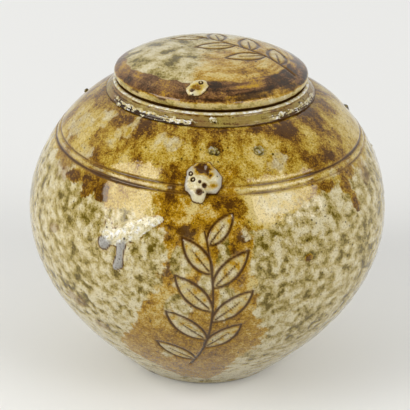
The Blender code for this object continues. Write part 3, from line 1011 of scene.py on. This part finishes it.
def lid_glaze(colours):
    glaze = Glaze("lid_glaze", colours)
    grain, flakes = glaze.grain(1.5, **FINE_GRAIN), glaze.grain(1.3, **FLAKE_GRAIN)
    thickness, tone = (glaze.added(glaze.mask(name), grain) for name in ("mottle", "tone"))
    glaze.ground = glaze.colour_by(thickness, "moss", "olive", "cream", "white")
    for factor, by, names in (
        (glaze.broken("amber", flakes, 0.2, 0.8, 0.95), tone, ("umber", "rust", "amber", "straw")),
        (glaze.mask("leaf", 0.6), thickness, ("ochre", "straw", "cream", "white")),
        (glaze.broken("brown", flakes, 0.3, 0.7, 0.95), tone, ("iron", "umber", "mauve", "amber")),
        (glaze.broken("cream", flakes, 0.2, 0.8, 0.95), thickness, ("olive", "straw", "cream", "white")),
    ):
        glaze.cover(factor, glaze.colour_by(by, *names))
    grooves_and_shade(glaze)
    return glaze.finish(grain=0.45, gloss=0.07)


def pad_glaze(name, colours, *names):
    glaze = Glaze(name, colours)
    thickness = glaze.added(glaze.mask("mottle"), glaze.grain(0.7, size=0.0012, detail=2.0, roughness=0.7))
    glaze.ground = glaze.colour_by(thickness, *names)
    glaze.cover(glaze.mask("rim", 0.6), "silver")
    grooves_and_shade(glaze, 1.0)
    return glaze.finish(grain=0.25, specks=0.2, gloss=0.08)


def clay_finish(colours):
    glaze = Glaze("bare_clay", colours)
    glaze.ground = glaze.colour_by(glaze.cloud(0.008), "rust", "clay", "clay", "straw")
    dryness = glaze.cloud(0.006, 0.7, 1.0)
    return glaze.finish(grain=0.6, specks=0.45, dry=0.8, dryness=dryness, wave=0.0012, bump=0.00010)


# Operators

def settings():
    scene = bpy.context.scene
    return scene.jar_shape, scene.jar_relief, scene.jar_colours, scene.jar_stage


class JAR_OT_wall(bpy.types.Operator):
    """Make the thrown jar with its salt glaze, carved leaves and kiln marks"""
    bl_idname = "jar.make_wall"
    bl_label = "Make wall"

    def execute(self, context):
        shape, relief, colours, _ = settings()
        bearings = wall_bearings(relief)
        outside = Skin(wall_outline(shape, relief.row_spacing), bearings)
        dress_wall(outside, shape, relief)
        inside = Skin(inner_outline(shape), bearings[::INNER_STEP]).evenly("shoulder", 0.62)
        under = Skin(underside_outline(shape), bearings[::INNER_STEP]).evenly("amber", 0.55)
        piece = joined("jar_wall", [inside, outside, under], "jar", wall_glaze(colours))
        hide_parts("jar_body")
        return {"FINISHED"}


def inner_outline(shape):
    """From the middle of the floor up the inside to the ledge under the collar."""
    wall = wall_line(shape)
    inner = wall - outward(wall) * shape.wall_thickness
    inner = inner[(inner[:, 1] > shape.floor_thickness) & (inner[:, 0] > shape.mouth_radius)]
    inner = inner[inner[:, 1] < shape.shoulder_height - shape.mouth_edge]
    climb = even(inner[::-1], 0.004)
    floor = np.array([[r, shape.floor_thickness] for r in np.linspace(0.001, climb[0, 0] - 0.003, 9)])
    mouth = np.array([
        [shape.mouth_radius, shape.shoulder_height - shape.mouth_edge],
        [shape.mouth_radius, shape.shoulder_height],
        [shape.mouth_radius + 0.004, shape.shoulder_height],
    ])
    return np.vstack([floor, climb, mouth])


def underside_outline(shape):
    """From the flat of the foot ring up into the recess and to its middle."""
    inner = shape.foot_radius - shape.foot_ring_width
    recess = shape.foot_recess
    bevel = [[inner + 0.003, 0], [inner, 0], [inner - recess / 2, recess / 2], [inner - recess, recess]]
    flat = [[r, recess] for r in np.linspace(inner - recess - 0.002, 0.001, 8)]
    return np.array(bevel + flat)


def collar_outline(shape):
    """From the collar's foot in the mouth, up and over the lip, to its foot on the ledge."""
    foot, base, top, mouth = collar_high.x, collar_low.z, collar_high.z, shape.mouth_radius
    rounding = shape.lip_rounding
    lip = arc((shape.collar_lip_radius - rounding, top - rounding), rounding, pi / 2, 0, 6)
    face = np.linspace(lip[-1], (foot, base + shape.collar_edge), 18)[1:]
    return np.vstack([
        [[mouth, base], [mouth, base + 0.002], [mouth, top]], np.linspace((mouth + 0.0005, top), lip[0], 10),
        lip[1:], face, [[foot, base + 0.0004], [foot, base], [foot - 0.004, base]],
    ])


def dress_collar(skin, shape):
    """Relief and fields of the collar: its pale lip, a hair line, flakes over a torn dark band, and painted
    shade on its top under the lid.
    """
    lip, front = shape.collar_lip_radius, skin.from_front
    down = (collar_high.z - skin.height) / (collar_high.z - collar_low.z)
    on_face = smooth(lip - 0.0002, lip + 0.0003, skin.radius)
    streaks = skin.streaks(skin.run / 0.0007, 2.4, 123)
    ragged = layered_noise(skin.points * (1, 1, 0.6), 0.0026, 121)
    left, right = window(front, -72, -58, -14, -2), window(front, 30, 40, 70, 95)
    behind = smooth(100, 120, np.abs(front)) * smooth(-0.1, 0.3, layered_noise(skin.points, 0.02, 125, 2))
    torn = np.maximum.reduce([left, 0.7 * right, behind])
    pooled = smooth(0.46, 0.56, down + 0.26 * ragged) * torn
    flakes = pooled * smooth(0.82, 0.70, down + 0.55 * ragged) * smooth(-0.35, -0.05, streaks + 0.6 * ragged)
    skin.relief += (0.00050 * flakes + 0.00014 * ragged + 0.00006 * streaks - 0.0003) * on_face
    skin.relief *= smooth(collar_low.z, collar_low.z + 0.0004, skin.height)
    lip_line = smooth(0.15, 0.09, down + 0.02 * ragged)
    under_lip = window(down, 0.14, 0.18, 0.22, 0.30) * smooth(0.35, -0.25, ragged)
    hair = 0.95 * window(front, -104, -92, -56, -40) * smooth(-0.25, 0.15, streaks + 0.5 * ragged)
    hair *= smooth(0.09, 0.03, np.abs(down - 0.40 + 0.10 * ragged))
    browned = right * smooth(0.0, 0.3, ragged + 0.4 * down - 0.2)
    seam = 0.6 * smooth(0.86, 0.95, down)
    # Painted shade: the collar's top under the lid is darkened and kept from the pale lip
    shade_under_lid = smooth(lip - 0.0008, lip - 0.0016, skin.radius)
    skin.fields = {
        "mottle": np.clip(0.46 + 0.72 * streaks + 0.2 * ragged - 0.30 * smooth(0.7, 1.0, down), 0, 1),
        "cream": np.maximum(lip_line * (1 - shade_under_lid), 1.2 * flakes),
        "brown": np.maximum.reduce([seam, 1.3 * pooled, hair, browned]) * on_face,
        "groove": np.maximum(2 * shade_under_lid - 1, 1.7 * under_lip * on_face - 0.7),
    }


class JAR_OT_collar(bpy.types.Operator):
    """Make the low collar with its pale lip and the ragged glaze along its foot"""
    bl_idname = "jar.make_collar"
    bl_label = "Make collar"

    def execute(self, context):
        shape, _, colours, _ = settings()
        skin = Skin(collar_outline(shape), np.linspace(0, tau, 560, endpoint=False))
        dress_collar(skin, shape)
        piece = joined("collar", [skin], "jar", collar_glaze(colours), ring=True)
        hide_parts("neck_ring")
        return {"FINISHED"}


def lid_top_outline(shape):
    """From the top of the dome down and round the lid's edge to its seat."""
    edge, turn = shape.lid_edge_radius, shape.lid_edge_turn
    seat, rise = lid_low.z, lid_high.z - lid_low.z
    centre = np.array([lid_high.x - edge, edge])
    meet = centre + edge * np.array([cos(turn), sin(turn)])
    fall = rise - meet[1]
    power = meet[0] / (tan(turn) * fall)
    radii = np.linspace(0.0006, 1, 78) * meet[0]
    dome = np.column_stack([radii, rise - fall * (radii / meet[0]) ** power])
    return np.vstack([dome, arc(centre, edge, turn, -pi / 2, 12)[1:]]) + [0, seat]


def lid_under_outline(shape):
    """From the lid's seat inwards and up into its hollow."""
    seat = lid_low.z
    height = lid_high.z - seat - shape.lid_wall
    turns = np.linspace(0, pi / 2 - 0.05, 12)
    hollow = np.column_stack([shape.lid_hollow_radius * np.cos(turns), seat + height * np.sin(turns)])
    outer, inner = lid_high.x - shape.lid_edge_radius - 0.002, shape.lid_hollow_radius + 0.0005
    return np.vstack([np.linspace((outer, seat), (inner, seat), 5), hollow])


class JAR_OT_lid(bpy.types.Operator):
    """Make the domed lid with its clouded glaze and carved sprig"""
    bl_idname = "jar.make_lid"
    bl_label = "Make lid"

    def execute(self, context):
        shape, relief, colours, _ = settings()
        bearings = np.linspace(-pi, pi, 480, endpoint=False)
        top = Skin(lid_top_outline(shape), bearings)
        dress_lid(top, relief)
        under = Skin(lid_under_outline(shape), bearings[::INNER_STEP]).evenly("amber", 0.55)
        piece = joined("lid_dome", [top, under], "lid", lid_glaze(colours))
        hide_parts("lid")
        return {"FINISHED"}


# Bearing and how far in from the lid's rim its brown band reaches
LID_BAND = [
    (-180, 5), (-168, 6.2), (-144, 8.5), (-127, 10.4), (-110, 10.8), (-90, 12.5), (-69, 12.5), (-50, 13),
    (-30, 11), (0, 8), (30, 5), (60, 3), (100, 2), (150, 3),
]


def dress_lid(skin, relief):
    """Relief and fields of the lid's top."""
    points, front = skin.points, skin.from_front
    x, y, _ = points.T
    out, above_seat = lid_high.x - skin.radius, skin.height - lid_low.z
    ripple = layered_noise(points, 0.0080, 131)
    wander = layered_noise(points, 0.0140, 135)
    streaks = skin.streaks(skin.radius / 0.0019, 1.7, 137)
    clouds = layered_noise(points, 0.0075, 141, 4, 0.6)
    side = smooth(-0.010, 0.014, x + 0.010 * wander - 0.25 * y)
    far = smooth(0.012, 0.034, y)
    mottle = even_spread(clouds, 0.50, 0.23) + 0.30 * far - 0.16 * smooth(0.006, 0.004, above_seat)
    mottle = np.clip(mottle, 0, 1)
    tone = even_spread(clouds + 0.9 * streaks * side, 0.66, 0.13)
    tone += 0.25 * far - 0.06 * smooth(0.010, 0.035, x)

    # The brown band near the edge, and brown streaks on the right
    band = np.array(LID_BAND)
    reach = np.interp(np.degrees(skin.bearing), band[:, 0], band[:, 1] * MM, period=360)
    brown = smooth(0.0016, -0.0016, out - reach + 0.0030 * wander + 0.0012 * ripple)
    brown *= smooth(0.0040, 0.0052, above_seat + 0.0010 * ripple)
    brown *= 1 - 0.25 * side * smooth(0.05, 0.4, streaks)
    tone += brown * (0.45 * ripple + 0.20 * streaks - 0.14 - 0.15 * window(front, -14, 4, 60, 80))
    brown *= 1 - 0.6 * window(front, 0, 14, 55, 75) * smooth(0.0048, 0.0030, out + 0.0015 * streaks)
    streaked = smooth(0.06, 0.40, streaks + 0.3 * wander + 0.10 * smooth(0.0, -0.03, y))
    brown = np.maximum(brown, 0.42 * side * streaked) * (1 - 0.7 * far)

    # The pale edge, burnt in places, and the shadow line below it
    edge = smooth(0.0048, 0.0036, above_seat + 0.0008 * ripple)
    burnt = window(above_seat + 0.0010 * ripple, 0.0030, 0.0038, 0.0048, 0.0056)
    burnt *= window(front, -62, -52, -24, -14) * smooth(-0.05, 0.25, ripple)
    below = smooth(0.0014, 0.0005, above_seat)
    drawing = Drawing(x, y, relief.carved_width * 1.2)
    drawing.branch((0.040, -0.015), (0.018, 0.004), (-0.008, 0.022), LID_LEAVES)
    skin.relief += 0.00013 * ripple + 0.00008 * streaks * side - 0.00026
    skin.relief -= 0.00016 * (1 - mottle) * (1 - brown)
    skin.relief -= relief.carved_depth * 0.85 * smooth(0, 0.9, drawing.carved)
    skin.relief *= smooth(0, 0.0009, above_seat)
    skin.fields = {
        "mottle": mottle, "tone": tone, "brown": brown, "leaf": drawing.inside,
        "cream": np.maximum(edge, 0.62 * smooth(0.010, 0.036, y + 0.012 * wander + 0.005 * ripple)),
        "amber": np.maximum(side, smooth(0.0045, 0.0025, out)) * (1 - 0.75 * far),
        "groove": np.maximum.reduce([drawing.carved, 2.2 * below - 1.1, 1.2 * burnt - 0.5]),
    }


# Clay and glaze that stick to the turned surfaces

def pressed_pad(name, ground, bearing, run, size, marks, seed, body, material):
    """A thumb-pressed pad: a soft mound whose edge sinks into the surface, with its hollow and pinholes, and
    a dark border and darker hollows that are partly pooled glaze and partly painted shade.
    """
    width, tall, thick = size
    spokes, rings = 144, 46
    angle = np.tile(np.linspace(0, tau, spokes, endpoint=False), rings)
    share_out = np.repeat(np.linspace(0.012, 1, rings), spokes)
    edge = 1 + 0.17 * layered_noise(placed_at(angle, 1, 0 * angle), 0.50, seed + 5, 4)
    for heading, wide, deep in marks["dents"]:
        edge -= deep * np.exp(-((turned_from(radians(heading), angle) / radians(wide)) ** 2))
    wide = width / 2 * (1 + marks["taper"] * np.sin(angle) * 0.75)
    x, y = share_out * edge * wide * np.cos(angle), share_out * edge * tall / 2 * np.sin(angle)
    turn = radians(marks["turn"])
    across, up = x * cos(turn) - y * sin(turn), x * sin(turn) + y * cos(turn)
    lumps = layered_noise(np.column_stack([across, up, 0 * up]), 0.0042, seed)
    dip = np.maximum.reduce([
        deep * np.exp(-((across / MM - x) ** 2 + ((up / MM - y) * 1.25) ** 2) / reach**2)
        for x, y, reach, deep in marks["hollows"]
    ])
    holes = [1 - mark_distance(across, up, lumps, mark) for mark in marks["holes"]]
    holes += [0.9 - np.abs(mark_distance(across, up, lumps, mark) - 0.60) / 0.36 for mark in marks["bubbles"]]
    holes = np.maximum.reduce([*holes, np.full(len(up), -1.0)])
    mound = (1 - share_out**2.6) ** 0.55
    rise = thick * mound * (0.86 - 0.50 * dip) + 0.00130 * lumps * mound
    rise -= 0.0005 + 0.0010 * smooth(0, 0.7, holes)
    points = ground.at(radians(bearing) + across / ground.radius_at(run), run - up, rise)
    faces = grid_faces(rings, spokes) + end_faces(spokes, (rings - 1) * spokes, spokes)
    # The dark border: pooled glaze at the pad's foot and painted shadow of its edge
    border = smooth(0.86, 1.0, share_out + 0.06 * lumps)
    sides = smooth(0.66, 0.84, share_out + 0.25 * lumps) * smooth(0.35, 0.75, np.abs(np.cos(angle)))
    fields = {
        # Darker in the hollows: pooled glaze and painted shade
        "mottle": np.clip(0.84 + 0.65 * lumps - 1.20 * dip, 0, 1),
        "groove": np.maximum(2.0 * holes - 0.1, 2 * border - 1.0),
        "rim": marks["rim"] * sides * (1 - dip),
    }
    return new_piece(name, points, faces, fields, body, material)


def mark_distance(across, up, lumps, mark):
    """Distance from a hole's middle as a share of its radius."""
    x, y, radius = mark
    return np.hypot(across / MM - x, up / MM - y) * (1 + 0.25 * lumps) / radius


def stuck_drops(name, ground, drops, material):
    """Drops of kiln glaze and crumbs: bearing, run, half width, half length, height and roughness of each."""
    ball = bmesh.new()
    bmesh.ops.create_icosphere(ball, subdivisions=4, radius=1)
    unit = np.array([vertex.co for vertex in ball.verts])
    corners = np.array([[vertex.index for vertex in face.verts] for face in ball.faces])
    ball.free()
    points, faces, values = [], [], []
    for seed, (bearing, run, wide, tall, high, rough) in enumerate(drops):
        lumps = layered_noise(unit + 3.7 * seed, 0.75, 200 + seed)
        x, y, z = (unit * (1 + rough * lumps)[:, None]).T
        place = radians(bearing) + x * wide / ground.radius_at(run)
        points.append(ground.at(place, run - y * tall, high * np.where(z > 0, z, z * 0.3) - 0.0002))
        faces.append(corners + seed * len(unit))
        values.append(0.50 - 0.30 * (seed % 2) + 0.9 * lumps + 0.25 * (z - 0.5))
    fields = {"mottle": np.concatenate(values), "groove": np.full(len(unit) * len(drops), -1.0)}
    return new_piece(name, np.vstack(points), np.vstack(faces).tolist(), fields, "jar", material)


FRONT_PAD_WIDTH, FRONT_PAD_THICKNESS = 0.0180, 0.0040
LID_PAD_SIZE = (0.0120, 0.0092, 0.0030)
LID_PAD_RADIUS = 0.0403
# Start, end and number of the crumbs round the collar's foot
CRUMB_STRETCHES = ((-150, -112, 7), (-52, -20, 12), (30, 150, 12))


class JAR_OT_pads(bpy.types.Operator):
    """Make the two pressed pads, the kiln drips on the shoulder and the crumbs round the collar"""
    bl_idname = "jar.make_pads"
    bl_label = "Make pads and drips"

    def execute(self, context):
        shape, relief, colours, _ = settings()
        wall = Ground(wall_outline(shape, relief.row_spacing))
        lid = Ground(lid_top_outline(shape))
        top, tip = wall.run_at(PAD_TOP), wall.run_at(PAD_TIP)
        size = (FRONT_PAD_WIDTH, tip - top, FRONT_PAD_THICKNESS)
        front = pressed_pad(
            "front_pad", wall, PAD_BEARING, (top + tip) / 2, size, FRONT_PAD_MARKS, 301, "jar",
            pad_glaze("pad_glaze", colours, "umber", "amber", "cream", "white"),
        )
        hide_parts("front_prunt")
        lid_run = np.interp(LID_PAD_RADIUS, lid.outline[:, 0], lid.run)
        small = pressed_pad(
            "lid_pad", lid, LID_PAD_BEARING, lid_run, LID_PAD_SIZE, LID_PAD_MARKS, 331, "lid",
            pad_glaze("lid_pad_glaze", colours, "rust", "ochre", "straw", "white"),
        )
        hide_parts("lid_prunt")
        glass = pad_glaze("kiln_glass", colours, "iron", "moss", "olive", "silver")
        drips = [
            (bearing, wall.run_at(height * MM), wide * MM, wide * MM, wide * MM * 0.8, 0.30)
            for bearing, height, wide in KILN_DRIPS
        ]
        stuck_drops("kiln_drips", wall, drips, glass)
        foot = Ground(collar_outline(shape))
        end = foot.run[-1]
        crumbs = [
            (-88.5, end - 0.0080, 0.0016, 0.0013, 0.0013, 0.5),
            (-87.2, end - 0.0071, 0.0008, 0.0008, 0.0009, 0.5),
        ]
        random = np.random.default_rng(17)
        for start, stop, count in CRUMB_STRETCHES:
            for bearing in np.linspace(start, stop, count):
                wide = 0.0003 + 0.0010 * random.random() ** 3
                run = end - 0.0048 - 0.0030 * random.random() ** 2
                crumbs.append((bearing + 3 * random.random(), run, wide * 1.6, wide, wide * 0.8, 0.6))
        crumb_glaze = pad_glaze("crumb_glaze", colours, "iron", "olive", "white", "frost")
        stuck_drops("collar_crumbs", foot, crumbs, crumb_glaze)
        return {"FINISHED"}


class JAR_OT_lid_ring(bpy.types.Operator):
    """Make the bare ring under the lid that keeps it in the mouth"""
    bl_idname = "jar.make_lid_ring"
    bl_label = "Make lid ring"

    def execute(self, context):
        shape, _, colours, _ = settings()
        outer, top, low = ring_high.x, ring_high.z, ring_low.z
        inner, taper = shape.lid_hollow_radius, shape.ring_taper
        outline = np.array([
            [inner, low], [inner, low + 0.004], [inner, top], [inner + 0.001, top], [outer - 0.0004, top],
            [outer, top - 0.0004], [outer, low + 0.004], [outer, low + taper], [outer - taper, low],
            [inner + 0.001, low],
        ])
        skin = Skin(outline, np.linspace(0, tau, 180, endpoint=False))
        piece = joined("lid_ring", [skin], "lid", clay_finish(colours), ring=True)
        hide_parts("lid_flange")
        return {"FINISHED"}


# Name, bearing, elevation, shift within the lamp's plane, size and strength of the two lamps
LAMPS = (
    ("left_lamp", -30, 48, (-0.41, -0.19), (0.57, 0.66), 1.0),
    ("right_lamp", 33, 54, (0.365, -0.25), (0.73, 0.46), 0.85),
)


class JAR_OT_stage(bpy.types.Operator):
    """Make the pale table, the two soft lamps, the room light and the camera"""
    bl_idname = "jar.make_stage"
    bl_label = "Make stage"

    def execute(self, context):
        stage = settings()[3]
        make_floor(stage)
        make_room(stage)
        for name, bearing, elevation, shift, size, strength in LAMPS:
            make_lamp(stage, name, radians(bearing), radians(elevation), shift, size, strength)
        make_camera(stage)
        return {"FINISHED"}


def make_floor(stage):
    """The pale table, which looks paler towards the back of the picture."""
    half = 4.0
    corners = [(-half, -half, 0), (half, -half, 0), (half, half, 0), (-half, half, 0)]
    mesh = bpy.data.meshes.new("table")
    mesh.from_pydata(corners, [], [(0, 1, 2, 3)])
    material = bpy.data.materials.new("table")
    material.use_nodes = True
    tree = material.node_tree
    far = ranged(tree, depth_of(tree, "Object"), -0.15, 0.75, 0.12 * stage.backdrop_lift, stage.backdrop_lift)
    feed(tree, tree.nodes["Principled BSDF"], {
        "Base Color": stage.floor_colour, "Roughness": 0.9, "Specular IOR Level": 0.1,
        "Emission Color": (1, 1, 0.995), "Emission Strength": maths(tree, "MULTIPLY", far, seen_rays(tree)),
    })
    lay_out(tree)
    mesh.materials.append(material)
    table = bpy.data.objects.new("table", mesh)
    bpy.context.scene.collection.objects.link(table)


def depth_of(tree, coordinates):
    """How far back a place or a direction lies."""
    where = tree.nodes.new("ShaderNodeTexCoord").outputs[coordinates]
    return put(tree, "ShaderNodeSeparateXYZ", {"Vector": where}).outputs["Y"]


def seen_rays(tree):
    """1 for rays that show the backdrop: to the camera, in a gloss and through glass."""
    rays = tree.nodes.new("ShaderNodeLightPath").outputs
    shown = maths(tree, "MAXIMUM", rays["Is Camera Ray"], rays["Is Glossy Ray"])
    return maths(tree, "MAXIMUM", shown, rays["Is Transmission Ray"])


def make_room(stage):
    """A dim room towards the camera and a pale backdrop behind the jar."""
    world = bpy.data.worlds.new("room")
    bpy.context.scene.world = world
    world.use_nodes = True
    tree = world.node_tree
    glow = ranged(tree, depth_of(tree, "Generated"), -0.25, 0.55, stage.room_front, stage.room_back)
    feed(tree, tree.nodes["Background"], {"Strength": glow, "Color": (1, 1, 0.99)})
    lay_out(tree)


def make_lamp(stage, name, bearing, elevation, offset, size, strength):
    """A flat lamp that faces the jar's foot from this bearing and elevation, moved within its plane."""
    facing = Vector((sin(bearing) * cos(elevation), -cos(bearing) * cos(elevation), sin(elevation)))
    across = Vector((cos(bearing), sin(bearing), 0))
    up = facing.cross(across)
    light = bpy.data.lights.new(name, "AREA")
    light.shape = "RECTANGLE"
    light.size, light.size_y = size
    light.energy = 4 * size[0] * size[1] * stage.lamp_glow * strength
    place = facing * stage.lamp_distance + across * offset[0] + up * offset[1]
    stand(name, light, Matrix((across, up, facing)), place)


def stand(name, data, axes, place, roll=0):
    """An object with these axes at a place, rolled about the last of them."""
    thing = bpy.data.objects.new(name, data)
    turned = axes.transposed().to_4x4() @ Matrix.Rotation(roll, 4, "Z")
    thing.matrix_world = Matrix.Translation(place) @ turned
    bpy.context.scene.collection.objects.link(thing)
    return thing


def make_camera(stage):
    """The camera at the photo's angle."""
    right, back = Vector((1, 0, 0)), Vector((0, -cos(stage.camera_elevation), sin(stage.camera_elevation)))
    data = bpy.data.cameras.new("camera")
    data.sensor_width = 36
    data.lens = data.sensor_width / 2 / tan(stage.camera_view / 2)
    place = Vector((stage.target_across, 0, stage.target_height)) + back * stage.camera_distance
    axes = Matrix((right, back.cross(right), back))
    bpy.context.scene.camera = stand("camera", data, axes, place, stage.camera_roll)


class JAR_PT_panel(bpy.types.Panel):
    """Lists the steps that dress the jar"""
    bl_idname = "JAR_PT_panel"
    bl_label = "Salt-glazed jar"
    bl_space_type = "VIEW_3D"
    bl_region_type = "UI"
    bl_category = "Jar"

    def draw(self, context):
        for step in STEPS:
            self.layout.operator(step.bl_idname)


STEPS = (JAR_OT_stage, JAR_OT_wall, JAR_OT_collar, JAR_OT_lid, JAR_OT_lid_ring, JAR_OT_pads)
GROUPS = {"jar_shape": JarShape, "jar_relief": JarRelief, "jar_colours": JarColours, "jar_stage": JarStage}


def register():
    for kind in (*GROUPS.values(), *STEPS, JAR_PT_panel):
        bpy.utils.register_class(kind)
    for name, kind in GROUPS.items():
        setattr(bpy.types.Scene, name, PointerProperty(type=kind))


def unregister():
    for name in GROUPS:
        delattr(bpy.types.Scene, name)
    for kind in reversed((*GROUPS.values(), *STEPS, JAR_PT_panel)):
        bpy.utils.unregister_class(kind)


def main():
    register()
    scene = bpy.context.scene
    scene.view_settings.view_transform = "Standard"
    bpy.ops.jar.make_stage()
    bpy.ops.jar.make_wall()
    bpy.ops.jar.make_collar()
    bpy.ops.jar.make_lid()
    bpy.ops.jar.make_lid_ring()
    bpy.ops.jar.make_pads()


if __name__ == "__main__":
    main()
